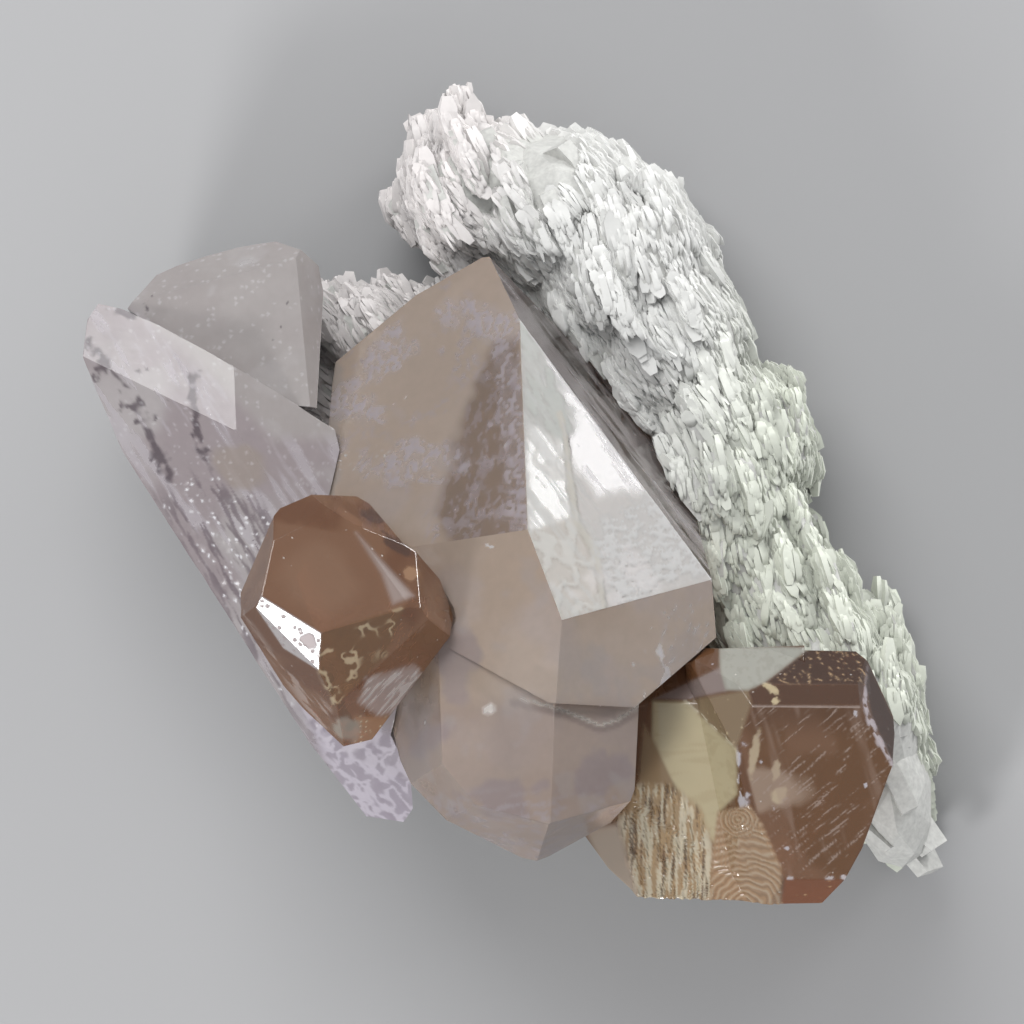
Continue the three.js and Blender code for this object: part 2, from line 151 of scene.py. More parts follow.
def cloud(place, size, seed, layers=3):
    """Layered noise from 0 to 1, its widest lumps as wide as size."""
    total = np.zeros(len(place))
    share = 0.0
    for layer in range(layers):
        place = place @ TILT
        total += ripple(place, size / 2**layer, seed + layer) / 2**layer
        share += 1 / 2**layer
    return total / share


def rise(value, low, high):
    """From nought at low to one at high, with soft ends."""
    part = np.clip((value - low) / (high - low), 0, 1)
    return part * part * (3 - 2 * part)


def along_and_across(place, degrees):
    """How far each place lies along a direction in plan, and to the left of it."""
    turn = math.radians(degrees)
    along = place[:, 0] * math.cos(turn) + place[:, 1] * math.sin(turn)
    across = place[:, 1] * math.cos(turn) - place[:, 0] * math.sin(turn)
    return along, across


def streaks(place, degrees, length, width, seed, level=0.5, soft=0.12):
    """Fine streaks that run one way."""
    along, across = along_and_across(place, degrees)
    stretched = np.stack([along / length, across / width, place[:, 2] / (2 * width)], axis=1)
    return rise(cloud(stretched, 1.0, seed, 3), level, level + soft)


def threads(place, size, seed, thin=0.12):
    """A lace of thin winding lines."""
    bent = place + 1.2 * size * (np.stack([cloud(place, size, seed + k, 2) for k in (5, 6, 7)], axis=1) - 0.5)
    ridge = np.abs(2 * cloud(bent, size, seed, 2) - 1)
    return 1 - rise(ridge, thin * 0.4, thin)


def specks(place, size, share, seed, reach=0.35):
    """Small dots, one in a share of the cells of that size."""
    scaled = place / size
    cell = np.floor(scaled).astype(np.int64)
    middle = np.stack([0.35 + 0.3 * cell_values(cell, seed + k) for k in (1, 2, 3)], axis=1)
    away = np.linalg.norm(scaled - cell - middle, axis=1)
    return (cell_values(cell, seed) < share) * (1 - rise(away, reach * 0.5, reach))


# Where a mark lies, in plan


def oval(place, middle, half, degrees=0.0, ragged=0.35, seed=11):
    """One inside a ragged oval and nought outside it."""
    along, across = along_and_across(place - np.array([middle[0], middle[1], 0]), degrees)
    reach = np.hypot(along / half[0], across / half[1])
    uneven = 2 * ragged * (cloud(place, min(half) * 1.2, seed) - 0.5)
    return 1 - rise(reach + uneven, 0.65, 1.1)


def line_distance(place, start, end):
    """How far each place is, in plan, from a stretch of straight line."""
    start, end = np.array(start, float), np.array(end, float)
    run = end - start
    offset = place[:, :2] - start
    share = np.clip(offset @ run / (run @ run), 0, 1)
    return np.linalg.norm(offset - share[:, None] * run, axis=1)


def band(place, path, width, ragged=0.3, seed=21):
    """One along a path of points, falling to nought at half its width."""
    away = np.min([line_distance(place, a, b) for a, b in zip(path, path[1:])], axis=0)
    away = away * (1 + 2 * ragged * (cloud(place, 1.2, seed) - 0.5))
    return 1 - rise(away, width * 0.2, width * 0.5)


def region(place, corners, soft=0.3, ragged=0.0, seed=31):
    """One inside a shape given by its corners, with a soft edge."""
    inside = np.zeros(len(place), bool)
    x, y = place[:, 0], place[:, 1]
    away = np.full(len(place), 1e9)
    for (ax, ay), (bx, by) in zip(corners, corners[1:] + corners[:1]):
        away = np.minimum(away, line_distance(place, (ax, ay), (bx, by)))
        if ay != by:
            crossing = ((ay > y) != (by > y)) & (x < (bx - ax) * (y - ay) / (by - ay) + ax)
            inside ^= crossing
    depth = np.where(inside, away, -away)
    if ragged:
        depth = depth + 2 * ragged * (cloud(place, 2.5, seed) - 0.5)
    return rise(depth, -soft, soft)


def facing(normal, direction, within=9.0):
    """One on faces that look within an angle of a direction."""
    unit_direction = np.array(direction) / np.linalg.norm(direction)
    angle = np.degrees(np.arccos(np.clip(normal @ unit_direction, -1, 1)))
    return 1 - rise(angle, within, within * 1.5)


class Coat:
    """The colour, roughness and relief of each point of a surface."""

    def __init__(self, place, normal, colour, rough):
        self.place = place
        self.normal = normal
        self.colour = np.tile(np.array(colour, float), (len(place), 1))
        self.rough = np.full(len(place), float(rough))
        self.height = np.zeros(len(place))

    def lay(self, mask, colour, rough=None):
        self.colour += mask[:, None] * (np.array(colour) - self.colour)
        if rough is not None:
            self.rough += mask * (rough - self.rough)

    def lift(self, mask, height):
        self.height += mask * height


# Materials


def link(tree, source, target):
    tree.links.new(source, target)


def node(tree, kind, **settings):
    made = tree.nodes.new(kind)
    for key, value in settings.items():
        setattr(made, key, value)
    return made


def make_grain_group():
    """Fine mottling and relief that every mineral here shows, each at its own size."""
    tree = bpy.data.node_groups.new("mineral_grain", "ShaderNodeTree")
    for label, start in (("Scale", 800.0), ("Contrast", 0.1)):
        tree.interface.new_socket(label, in_out="INPUT", socket_type="NodeSocketFloat").default_value = start
    tree.interface.new_socket("Light", in_out="OUTPUT", socket_type="NodeSocketFloat")
    tree.interface.new_socket("Height", in_out="OUTPUT", socket_type="NodeSocketFloat")
    given, out = node(tree, "NodeGroupInput"), node(tree, "NodeGroupOutput")
    place = node(tree, "ShaderNodeTexCoord")
    noise = node(tree, "ShaderNodeTexNoise")
    noise.inputs["Detail"].default_value = 1.5
    noise.inputs["Roughness"].default_value = 0.65
    link(tree, place.outputs["Object"], noise.inputs["Vector"])
    link(tree, given.outputs["Scale"], noise.inputs["Scale"])
    centred = node(tree, "ShaderNodeMath", operation="SUBTRACT")
    centred.inputs[1].default_value = 0.5
    link(tree, noise.outputs["Fac"], centred.inputs[0])
    light = node(tree, "ShaderNodeMath", operation="MULTIPLY_ADD")
    light.inputs[2].default_value = 1.0
    link(tree, centred.outputs[0], light.inputs[0])
    link(tree, given.outputs["Contrast"], light.inputs[1])
    link(tree, light.outputs[0], out.inputs["Light"])
    link(tree, noise.outputs["Fac"], out.inputs["Height"])
    return tree


def painted_material(name, grain_scale, contrast, relief):
    """A material that reads its colour and roughness from the coat, with a fine grain over it."""
    material = bpy.data.materials.new(name)
    material.use_nodes = True
    tree = material.node_tree
    shader = tree.nodes["Principled BSDF"]
    paint = node(tree, "ShaderNodeAttribute", attribute_name="coat_colour")
    rough = node(tree, "ShaderNodeAttribute", attribute_name="coat_roughness")
    grain = node(tree, "ShaderNodeGroup", node_tree=GRAIN)
    grain.inputs["Scale"].default_value = grain_scale
    grain.inputs["Contrast"].default_value = contrast
    lit = node(tree, "ShaderNodeVectorMath", operation="SCALE")
    link(tree, paint.outputs["Color"], lit.inputs[0])
    link(tree, grain.outputs["Light"], lit.inputs["Scale"])
    link(tree, lit.outputs[0], shader.inputs["Base Color"])
    link(tree, rough.outputs["Fac"], shader.inputs["Roughness"])
    if relief:
        bump = node(tree, "ShaderNodeBump")
        bump.inputs["Distance"].default_value = relief * MM
        bump.inputs["Strength"].default_value = 0.5
        link(tree, grain.outputs["Height"], bump.inputs["Height"])
        link(tree, bump.outputs[0], shader.inputs["Normal"])
    return material, shader


def glass_material(name, transmission, ior, absorb, density, grain_scale=900.0, contrast=0.12, relief=0.02):
    material, shader = painted_material(name, grain_scale, contrast, relief)
    shader.inputs["Metallic"].default_value = 0.0
    shader.inputs["Transmission Weight"].default_value = transmission
    shader.inputs["IOR"].default_value = ior
    tree = material.node_tree
    volume = node(tree, "ShaderNodeVolumeAbsorption")
    volume.inputs["Color"].default_value = (*absorb, 1)
    volume.inputs["Density"].default_value = density
    link(tree, volume.outputs[0], tree.nodes["Material Output"].inputs["Volume"])
    return material


# Crystals


def split_faces(faces, middle):
    """Splits triangles at the middles of their marked edges; an unmarked edge has a middle of -1."""
    marked = middle >= 0
    count = marked.sum(axis=1)
    first = np.where(count == 2, (np.argmin(marked, axis=1) + 1) % 3, np.argmax(marked, axis=1))
    order = (first[:, None] + np.arange(3)) % 3
    rows = np.arange(len(faces))[:, None]
    a, b, c = faces[rows, order].T
    ab, bc, ca = middle[rows, order].T
    one, two, three = count == 1, count == 2, count == 3
    parts = [faces[count == 0]]
    for which, corners in (
        (one, (a, ab, c)), (one, (ab, b, c)),
        (two, (b, bc, ab)), (two, (a, ab, bc)), (two, (a, bc, c)),
        (three, (a, ab, ca)), (three, (ab, b, bc)), (three, (ca, bc, c)), (three, (ab, bc, ca)),
    ):
        parts.append(np.stack(corners, axis=1)[which])
    return np.concatenate(parts)


def face_normals(points, faces):
    a, b, c = (points[faces[:, i]] for i in range(3))
    return np.cross(b - a, c - a)


def refine(points, faces, longest, upward):
    """Halves long edges until none is longer, on faces that look at least so far up."""
    for _ in range(12):
        up = unit(face_normals(points, faces))[:, 2] > upward
        ends = np.sort(faces[:, [0, 1, 1, 2, 2, 0]].reshape(-1, 2), axis=1)
        edges, place = np.unique(ends, axis=0, return_inverse=True)
        place = place.ravel()
        wanted = np.zeros(len(edges), bool)
        wanted[place[np.repeat(up, 3)]] = True
        cut = wanted & (np.linalg.norm(points[edges[:, 0]] - points[edges[:, 1]], axis=1) > longest)
        if not cut.any():
            break
        middle = np.full(len(edges), -1)
        middle[cut] = len(points) + np.arange(cut.sum())
        points = np.concatenate([points, (points[edges[cut, 0]] + points[edges[cut, 1]]) / 2])
        faces = split_faces(faces, middle[place].reshape(-1, 3))
    return points, faces


def point_normals(points, faces):
    across = face_normals(points, faces)
    total = np.zeros_like(points)
    for corner in range(3):
        for axis in range(3):
            total[:, axis] += np.bincount(faces[:, corner], across[:, axis], len(points))
    return unit(total)


def worn_crystal(source, edge_wear, pitch):
    """The solid's own faces with its outer edges a little worn, cut finely enough to carry a coat."""
    made = bmesh.new()
    made.from_mesh(source.data)
    bmesh.ops.remove_doubles(made, verts=made.verts, dist=0.003 * MM)
    if edge_wear:
        flat = math.radians(0.8)
        bmesh.ops.dissolve_limit(made, angle_limit=flat, verts=made.verts, edges=made.edges)
        outer = [e for e in made.edges if e.is_manifold and e.is_convex]
        worn = [e for e in outer if e.calc_face_angle() > math.radians(9) and e.calc_length() > 1.2 * MM]
        bmesh.ops.bevel(
            made, geom=worn, offset=edge_wear * MM, segments=2, profile=0.6,
            affect="EDGES", clamp_overlap=True,
        )
    bmesh.ops.triangulate(made, faces=made.faces[:])
    made.verts.index_update()
    points = np.array([v.co for v in made.verts]) / MM - SHIFT
    faces = np.array([[v.index for v in f.verts] for f in made.faces])
    made.free()
    points, faces = refine(points, faces, 1.2, -2)
    return refine(points, faces, pitch, 0.12)


def coated_mesh(name, points, faces, coat):
    mesh = bpy.data.meshes.new(name)
    raised = points + coat.normal * coat.height[:, None]
    mesh.from_pydata(((raised + SHIFT) * MM).tolist(), [], faces.tolist())
    colour = mesh.attributes.new("coat_colour", "FLOAT_COLOR", "POINT")
    rgba = np.concatenate([np.clip(coat.colour, 0, 1), np.ones((len(coat.colour), 1))], axis=1)
    colour.data.foreach_set("color", rgba.ravel())
    rough = mesh.attributes.new("coat_roughness", "FLOAT", "POINT")
    rough.data.foreach_set("value", np.clip(coat.rough, 0.02, 1))
    return mesh


def add_piece(name, mesh, material, replaced=None):
    mesh.materials.clear()
    mesh.materials.append(material)
    thing = bpy.data.objects.new(name, mesh)
    bpy.context.scene.collection.objects.link(thing)
    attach(thing, "root")
    if replaced:
        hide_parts(replaced)
    return thing


def add_crystal(name, replaced, paint, material, edge_wear=0.14, pitch=0.3):
    points, faces = worn_crystal(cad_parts[replaced], edge_wear, pitch)
    mesh = coated_mesh(name, points, faces, paint(points, point_normals(points, faces)))
    mesh.shade_smooth()
    mesh.set_sharp_from_angle(angle=math.radians(26))
    print(name, "triangles:", len(mesh.polygons), flush=True)
    return add_piece(name, mesh, material, replaced)


# The large smoky quartz

TIP_LEFT = (-0.430, 0.444, 0.786)
TIP_FROSTED = (0.503, 0.451, 0.737)
TIP_RIGHT = (0.758, 0.590, 0.277)
FROSTED_RIDGE = [(-2.4, 24.2), (0.6, 17.9), (19.8, -8.1)]
LEDGE = [(0.6, -19.9), (5.0, -21.1), (8.6, -22.6), (10.3, -22.1), (13.3, -20.1), (20.4, -15.8)]


def paint_smoky_quartz(place, normal):
    coat = Coat(place, normal, (0.63, 0.50, 0.40), 0.16)
    haze = cloud(place, 9.0, 3, 4)
    coat.lay(rise(haze, 0.40, 0.66), (0.70, 0.58, 0.49))
    coat.lay(rise(cloud(place, 5.0, 17, 4), 0.50, 0.70) * 0.5, (0.66, 0.57, 0.54), 0.22)
    paint_tip_left(coat)
    paint_tip_frosted(coat)
    paint_tip_right(coat)
    paint_quartz_front(coat)
    return coat


def paint_tip_left(coat):
    place = coat.place
    left = facing(coat.normal, TIP_LEFT, 8)
    light = region(place, [(-19, 15), (-2.4, 25), (-1.8, 15), (-8, 4), (-19, -2)], 3, 2)
    coat.lay(left * light, (0.68, 0.55, 0.455))
    shadow = [(-1.9, 15.5), (-5.6, 7.5), (-7.6, -1.5), (-6.0, -5.5), (1.6, -4.5), (0.6, 16.5)]
    dark = region(place, shadow, 0.8, 0.8)
    coat.lay(left * dark, (0.36, 0.265, 0.205), 0.14)
    coat.lay(left * band(place, [(-17.9, 13), (-18.3, 2)], 2.4, 0.8) * 0.6, (0.55, 0.50, 0.47), 0.25)
    drift = oval(place, (-2.6, 17.5), (1.9, 4.6), 75, 0.7, 41)
    drift = np.maximum(drift, oval(place, (-13.2, 13.9), (5.4, 1.9), 38, 0.8, 42))
    drift = np.maximum(drift, oval(place, (-9.2, 3.6), (2.2, 5.5), 100, 0.8, 43))
    drift = np.maximum(drift, oval(place, (-15.8, 9.0), (1.6, 4.0), 80, 0.8, 45))
    drift = np.maximum(drift, band(place, [(-0.9, 15), (-0.2, 6), (0.8, -4)], 3.2, 0.9, 44))
    lace = np.maximum(threads(place, 0.9, 51, 0.22), 0.55 * cloud(place, 0.8, 53, 2))
    coat.lay(left * drift * lace * 0.85, (0.66, 0.60, 0.66), 0.5)
    coat.lift(left * drift * lace, 0.03)
    scattered = rise(cloud(place, 4.0, 61, 3), 0.52, 0.66) * threads(place, 1.1, 63, 0.2)
    coat.lay(left * scattered * 0.5, (0.60, 0.54, 0.60), 0.4)
    fine = streaks(place, 82, 3.5, 0.28, 65, 0.54)
    coat.lay(left * dark * fine * 0.55, (0.52, 0.44, 0.47), 0.35)
    # painted glints: a cluster of near-white specks stands in for light glinting off this face
    painted_glint_cluster = oval(place, (-15.0, 4.0), (1.3, 3.2), 95, 0.5, 46) * specks(place, 0.45, 0.5, 67)
    coat.lay(left * painted_glint_cluster, (0.98, 0.97, 0.97), 0.35)


def paint_tip_frosted(coat):
    place = coat.place
    face = facing(coat.normal, TIP_FROSTED, 7)
    coat.lay(face, (0.42, 0.39, 0.36), 0.35)
    window = region(place, [(2.6, 16.5), (14.5, 0.5), (8.5, 0.5), (5.2, 5.5), (3.0, 11)], 0.8, 0.9)
    coat.lay(face * window, (0.22, 0.19, 0.19), 0.16)
    rim = region(place, [(0.5, 18.2), (2.6, 15.5), (6.0, 7.5), (4.6, 4.5), (1.2, 8.0)], 0.5, 1.1, 32)
    etched = streaks(place, 112, 2.2, 0.45, 71, 0.40)
    coat.lay(face * rim * (0.55 + 0.45 * etched), (0.80, 0.83, 0.78), 0.55)
    smooth = region(place, [(1.4, 7.5), (5.0, 5.5), (6.4, -2.5), (3.0, -4.0), (1.5, -3.0)], 0.5, 0.6)
    coat.lay(face * smooth, (0.47, 0.46, 0.43), 0.2)
    lower_corners = [(1.5, -3.2), (6.3, -2.0), (8.5, -6.0), (9.0, -11.2), (4.6, -12.4), (2.4, -8.0)]
    lower = region(place, lower_corners, 0.5, 0.8)
    coat.lay(face * lower, (0.60, 0.55, 0.48), 0.4)
    scales = threads(place, 2.0, 73, 0.25)
    coat.lay(face * np.maximum(lower, 0.5 * smooth) * scales, (0.92, 0.90, 0.84), 0.5)
    cream_path = [(4.6, 8.5), (5.2, 6.0), (5.6, 2.0), (6.3, -2.4), (8.3, -5.6), (9.0, -11.0)]
    cream = band(place, cream_path, 0.8, 1.0)
    coat.lay(face * cream, (0.86, 0.83, 0.74), 0.55)
    bright = region(place, [(9.0, -2.0), (14.2, 0.6), (19.6, -7.6), (10.0, -11.0), (8.0, -6.2)], 0.8, 1.2)
    across = streaks(place, 17, 3.5, 0.30, 75, 0.42)
    coat.lay(face * bright * (0.35 + 0.65 * across), (0.90, 0.91, 0.90), 0.5)
    film = streaks(place, -52, 5.0, 0.5, 77, 0.52)
    coat.lay(face * (1 - bright) * (1 - window) * film * 0.5, (0.86, 0.87, 0.84), 0.5)
    coat.lay(face * window * streaks(place, -55, 4.0, 0.35, 79, 0.56) * 0.7, (0.62, 0.60, 0.62), 0.35)
    frost = np.maximum(np.maximum(rim * etched, bright * across), lower * scales)
    coat.lift(face * frost, 0.05)
    coat.lift(face * cream, 0.06)
    edge = band(place, FROSTED_RIDGE[1:], 0.42, 0.3)
    coat.lay(edge * (place[:, 2] > 20), (0.85, 0.84, 0.84), 0.4)


def paint_tip_right(coat):
    place = coat.place
    face = facing(coat.normal, TIP_RIGHT, 8)
    coat.lay(face, (0.46, 0.42, 0.42), 0.2)
    pale = rise(along_and_across(place, 36)[0], 12.6, 15.2)
    coat.lay(face * pale * 0.7, (0.62, 0.58, 0.58), 0.25)
    dark = streaks(place, -53, 6.0, 0.62, 81, 0.47)
    near_ridge = 1 - rise(line_distance(place, FROSTED_RIDGE[1], FROSTED_RIDGE[2]), 1.6, 3.6)
    middle_patch = oval(place, (10.5, 10.0), (9.5, 3.2), -53, 0.5, 83)
    beak_patch = oval(place, (18.3, -5.0), (3.6, 1.4), -56, 0.4, 85)
    heavy = np.maximum(middle_patch, beak_patch)
    coat.lay(face * dark * np.clip(0.35 + near_ridge * 0.4 + heavy, 0, 1), (0.075, 0.048, 0.036), 0.12)
    coat.lay(face * streaks(place, -53, 5.0, 0.4, 87, 0.58) * 0.7, (0.74, 0.70, 0.72), 0.4)
    coat.lift(face * dark, -0.03)


def paint_quartz_front(coat):
    place = coat.place
    # painted shade: the front of the quartz is darker towards the bottom, below the ledge
    coat.lay((1 - rise(place[:, 1], -21.5, -19.0)) * 0.5, (0.45, 0.345, 0.31), 0.14)
    for middle, half, degrees, seed in (
        ((-5.6, -16.5), (4.5, 2.0), 100, 91),
        ((-9.0, -24.5), (3.0, 1.6), 40, 92),
        ((8.5, -27.5), (4.0, 2.2), 20, 93),
        ((-1.0, -30.0), (4.5, 2.0), 0, 94),
        ((17.0, -19.5), (2.2, 1.4), 50, 95),
    ):
        coat.lay(oval(place, middle, half, degrees, 0.9, seed) * 0.5, (0.40, 0.34, 0.38), 0.2)
    # painted shade: a dark band just below the ledge
    ledge_shade_line = [(0.0, -20.3), (5.0, -21.5), (8.6, -23.0), (10.4, -22.5), (13.5, -20.5), (20.4, -16.2)]
    coat.lay(band(place, ledge_shade_line, 1.1, 0.2) * 0.5, (0.27, 0.21, 0.19), 0.2)
    # painted highlight: a thin pale line along the ledge itself
    coat.lay(band(place, LEDGE, 0.5, 0.3), (0.74, 0.68, 0.62), 0.3)
    crack = [(14.6, -15.4), (15.4, -17.2), (15.0, -19.0), (13.6, -20.2)]
    crumbly = rise(cloud(place, 0.9, 98, 2), 0.38, 0.5)
    coat.lay(band(place, crack, 1.0, 1.4, 97) * crumbly, (0.96, 0.94, 0.96), 0.5)
    wing = region(place, [(14.5, -11), (20, -9.5), (20.4, -16), (15, -19)], 0.5)
    coat.lay(wing * streaks(place, 52, 5.0, 0.22, 99, 0.60) * 0.8, (0.72, 0.68, 0.68), 0.35)
    tail = 1 - rise(place[:, 1], -31.0, -28.0)
    coat.lay(tail * streaks(place, 12, 6.0, 0.35, 101, 0.50) * 0.6, (0.56, 0.50, 0.54), 0.3)
    # painted glint: a small near-white spot stands in for a glint of light on the front
    painted_rainbow_glint = oval(place, (-2.4, -20.9), (0.75, 0.55), 30, 0.5, 103)
    coat.lay(painted_rainbow_glint, (0.99, 0.93, 0.88), 0.3)
    veil = rise(cloud(place, 3.0, 105, 3), 0.54, 0.68) * (place[:, 1] < -4)
    coat.lay(veil * 0.35, (0.58, 0.53, 0.53), 0.25)
    coat.lay(specks(place, 2.4, 0.25, 107, 0.06) * (place[:, 1] < -2), (0.85, 0.82, 0.80), 0.4)


# The milky quartz group

DARK_VEIN = [
    (-42.4, 15.8), (-40.5, 12.8), (-38.6, 10.7), (-37.3, 9.0), (-36.5, 6.6), (-35.1, 3.7), (-34.6, 2.4),
]
TOP_VEIN = [(-40.7, 19.2), (-38.1, 18.2)]
LOWER_VEIN = [(-32.2, 12.0), (-31.9, 9.0), (-31.4, 5.0), (-30.0, 3.0)]


def paint_milky_quartz(place, normal):
    coat = Coat(place, normal, (0.39, 0.335, 0.345), 0.2)
    coat.lay(rise(cloud(place, 8.0, 111, 4), 0.42, 0.64), (0.49, 0.45, 0.45), 0.25)
    upper = region(place, [(-40, 20), (-33, 27), (-18, 26), (-17.5, 6), (-24, 6), (-33, 15)], 1.0)
    coat.lay(upper * 0.8, (0.47, 0.435, 0.42), 0.18)
    frost = rise(cloud(place, 3.2, 113, 4), 0.48, 0.62)
    crown = oval(place, (-27.5, 22.0), (7.0, 2.6), 14, 0.6, 115)
    coat.lay(upper * np.maximum(crown, 0.3) * frost * 0.45, (0.66, 0.64, 0.65), 0.40)
    lower = 1 - upper
    pale = streaks(place, -57, 7.0, 0.7, 117, 0.50)
    coat.lay(lower * pale * 0.5, (0.58, 0.54, 0.58), 0.35)
    warm = oval(place, (-27.0, 3.2), (3.4, 2.2), -30, 0.4, 119)
    coat.lay(warm * 0.7, (0.40, 0.335, 0.29), 0.12)
    for vein, width, seed in ((DARK_VEIN, 1.3, 121), (TOP_VEIN, 0.9, 122), (LOWER_VEIN, 0.9, 123)):
        mask = band(place, vein, width, 1.3, seed) * rise(cloud(place, 1.0, seed + 5, 2), 0.30, 0.52)
        coat.lay(mask * 0.85, (0.10, 0.075, 0.09), 0.2)
    rough = region(place, [(-31, 3), (-24, -1), (-19, -24), (-27, -16), (-36, 0)], 1.5, 1.0)
    coat.lay(rough * streaks(place, -62, 3.0, 0.4, 125, 0.52) * 0.75, (0.17, 0.13, 0.15), 0.25)
    # painted sparkles: near-white specks stand in for light glinting off tiny facets, thickest on the rough
    # patch
    painted_sparkle = specks(place, 0.55, 0.22, 127, 0.42)
    coat.lay(np.maximum(rough, 0.25) * painted_sparkle, (0.93, 0.91, 0.94), 0.3)
    foot = region(place, [(-21, -21), (-9.5, -24), (-9.5, -33), (-16, -33)], 1.0)
    coat.lay(foot * 0.7, (0.47, 0.41, 0.50), 0.35)
    coat.lay(foot * threads(place, 1.3, 129, 0.25), (0.72, 0.66, 0.74), 0.45)
    coat.lift(np.maximum(rough, 0.3 * lower), 0.35 * (cloud(place, 1.6, 131, 3) - 0.5))
    coat.lift(np.ones(len(place)), 0.10 * (cloud(place, 3.0, 133, 2) - 0.5))
    return coat


# The brown topaz on the left

BROW = [(-25.0, -9.6), (-23.6, -2.4), (-15.9, -3.6), (-10.4, -9.9), (-10.9, -10.8), (-19.1, -13.4)]
# The small lower-left facet of the brown topaz, coloured near-white as a painted reflection.
REFLECTING_FACET = [(-25.1, -9.7), (-19.1, -13.4), (-19.4, -17.1), (-22.9, -14.9), (-25.6, -10.9)]


def paint_left_topaz(place, normal):
    coat = Coat(place, normal, (0.26, 0.11, 0.05), 0.05)
    coat.lay(rise(cloud(place, 5.0, 141, 3), 0.42, 0.62), (0.36, 0.18, 0.095))
    brow = region(place, BROW, 0.3)
    coat.lay(brow, (0.35, 0.175, 0.095), 0.14)
    coat.lay(brow * oval(place, (-19.5, -8.0), (5.0, 3.6), -25, 0.3, 143) * 0.6, (0.43, 0.24, 0.145), 0.16)
    # painted sheen: a lilac-grey wedge on the upper face stands in for the light it reflects
    painted_sheen = region(place, [(-15.7, -3.4), (-9.9, -9.7), (-12.0, -10.5), (-13.1, -7.5)], 0.4)
    coat.lay(painted_sheen * 0.8, (0.62, 0.50, 0.46), 0.25)
    coat.lay(specks(place, 0.9, 0.22, 145, 0.11), (0.95, 0.90, 0.84), 0.4)
    reflecting_facet = region(place, REFLECTING_FACET, 0.12)
    corner_pit = oval(place, (-20.4, -14.2), (0.9, 0.6), -60, 0.6, 148)
    pits = np.maximum(specks(place, 0.55, 0.6, 147, 0.4), corner_pit)
    # painted reflection: the facet is painted near-white for the light it mirrors; the pits on it are real
    # etching
    coat.lay(reflecting_facet, (0.90, 0.84, 0.84), 0.16)
    coat.lay(reflecting_facet * pits * 0.8, (0.55, 0.38, 0.38), 0.45)
    coat.lift(reflecting_facet * pits, -0.03)
    paint_left_topaz_heart(coat)
    for middle, half, degrees in (((-14.0, -1.8), (1.3, 0.8), -20), ((-11.6, -4.6), (2.2, 0.7), -35)):
        coat.lay(oval(place, middle, half, degrees, 0.5, 157) * 0.85, (0.12, 0.055, 0.035), 0.1)
    coat.lay(oval(place, (-10.2, -7.4), (1.0, 0.8), 0, 0.4, 158) * 0.7, (0.72, 0.42, 0.24), 0.1)
    flank = region(place, [(-27.2, -11.0), (-24.0, -15.5), (-18.2, -21.0), (-18.6, -24.6)], 0.5)
    lines = streaks(place, -54, 5.0, 0.32, 159, 0.50)
    coat.lay(flank * lines * 0.7, (0.78, 0.62, 0.54), 0.2)
    coat.lift(flank * lines, -0.06)
    base = region(place, [(-15.8, -21.7), (-12.0, -21.8), (-11.8, -24.5), (-16.0, -25.5)], 0.4)
    coat.lay(base, (0.64, 0.37, 0.21), 0.2)
    coat.lay(base * specks(place, 0.5, 0.4, 161, 0.4), (0.97, 0.80, 0.55), 0.3)
    coat.lay(oval(place, (-16.6, -23.0), (1.6, 1.5), 0, 0.5, 163) * 0.8, (0.66, 0.58, 0.48), 0.25)
    return coat


def paint_left_topaz_heart(coat):
    """The part below the brow, with its crackle and its pale veil."""
    place = coat.place
    outline = [(-19.1, -13.4), (-10.9, -10.8), (-12.7, -15.7), (-17.9, -20.8), (-19.4, -17.3)]
    heart = region(place, outline, 0.3)
    coat.lay(heart, (0.30, 0.155, 0.07), 0.05)
    crackle = threads(place, 1.3, 149, 0.22) * rise(cloud(place, 2.2, 151, 2), 0.42, 0.6)
    coat.lay(heart * crackle, (0.85, 0.66, 0.42), 0.2)
    coat.lift(heart, 0.22 * (cloud(place, 1.5, 153, 2) - 0.5))
    corners = [(-14.6, -18.0), (-9.9, -16.6), (-9.2, -17.5), (-10.9, -21.0), (-13.5, -21.7), (-15.3, -20.3)]
    veil = region(place, corners, 0.5)
    coat.lay(veil, (0.66, 0.53, 0.49), 0.22)
    coat.lay(veil * streaks(place, 52, 2.5, 0.30, 155, 0.50), (0.95, 0.87, 0.83), 0.3)


# The large topaz on the right

SHIELD = [
    (23.9, -20.7), (34.5, -20.8), (37.8, -26.5), (33.2, -38.0), (26.8, -37.9), (24.5, -32.0), (22.5, -24.1),
]
FROSTED_EDGE = [(35.3, -17.0), (35.0, -20.5), (36.0, -23.4), (37.8, -26.5)]
KNOB = (22.5, -32.0)
FAN = (23.2, -40.6)


def shell_ridges(place):
    """The curved steps of a shell-like break: a small knob above and a wide fan below."""
    x, y = place[:, 0], place[:, 1]
    wander = 1.1 * (cloud(place, 1.6, 171, 2) - 0.5)
    knob = np.hypot(x - KNOB[0], (y - KNOB[1]) * 1.15) + wander * 0.6
    fan = np.hypot((x - FAN[0]) * 0.85, y - FAN[1]) + wander
    nearest = np.where(knob < 2.0, knob / 0.42, fan / 0.62)
    return 0.5 + 0.5 * np.sin(2 * math.pi * nearest)


def paint_right_topaz(place, normal):
    coat = Coat(place, normal, (0.24, 0.11, 0.05), 0.05)
    paint_shield(coat)
    paint_crown(coat)
    paint_window(coat)
    paint_break(coat)
    coat.lay(specks(place, 0.9, 0.25, 173, 0.10), (0.96, 0.90, 0.84), 0.4)
    return coat


